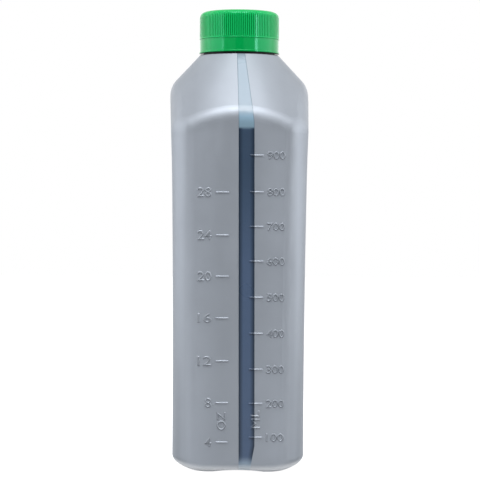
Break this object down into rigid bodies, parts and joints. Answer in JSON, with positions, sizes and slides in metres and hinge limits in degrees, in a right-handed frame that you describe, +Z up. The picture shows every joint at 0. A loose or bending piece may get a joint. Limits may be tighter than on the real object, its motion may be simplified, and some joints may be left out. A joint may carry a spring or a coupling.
{
  "type": "motor oil bottle",
  "caption": "Rectangular blow-moulded motor oil bottle with a conical shoulder, a translucent view stripe, a ribbed screw cap and a tamper-evident band.",
  "frame": {"origin": "middle of the base, on the surface that the bottle stands on", "axes": "+Z up along the neck, Y across the wide faces with the view stripe and the graduations on the narrow side at -Y, X through the wide faces"},
  "size_m": [0.0692, 0.0966, 0.2276],
  "materials": {
    "body_plastic": "satin silver-grey polyethylene",
    "stripe_plastic": "natural translucent polyethylene with a blue cast",
    "oil": "dark liquid",
    "foil": "bright foil",
    "board": "pulp board",
    "cap_plastic": "green moulded polypropylene"
  },
  "bodies": {
    "bottle": {"bottle_body": "body_plastic", "view_stripe": "stripe_plastic", "oil_fill": "oil", "foil_seal": "foil"},
    "liner": {"liner_wad": "board"},
    "cap": {"screw_cap": "cap_plastic"},
    "band": {"tamper_band": "cap_plastic", "break_bridges": "cap_plastic"}
  },
  "joints": [
    {"name": "cap_lift", "type": "slide", "parent": "bottle", "child": "liner", "axis": [0, 0, 1], "range_m": [0, 0.0128]},
    {"name": "cap_turn", "type": "hinge", "parent": "liner", "child": "cap", "pos_m": [0, 0, 0.2206], "axis": [0, 0, 1], "range_deg": [0, 1080]},
    {"name": "band_spin", "type": "hinge", "parent": "bottle", "child": "band", "pos_m": [0, 0, 0.21], "axis": [0, 0, 1], "continuous": true}
  ],
  "couplings": [
    {"joint": "cap_lift", "follows": "cap_turn", "m_per_rad": 0.00067376}
  ]
}
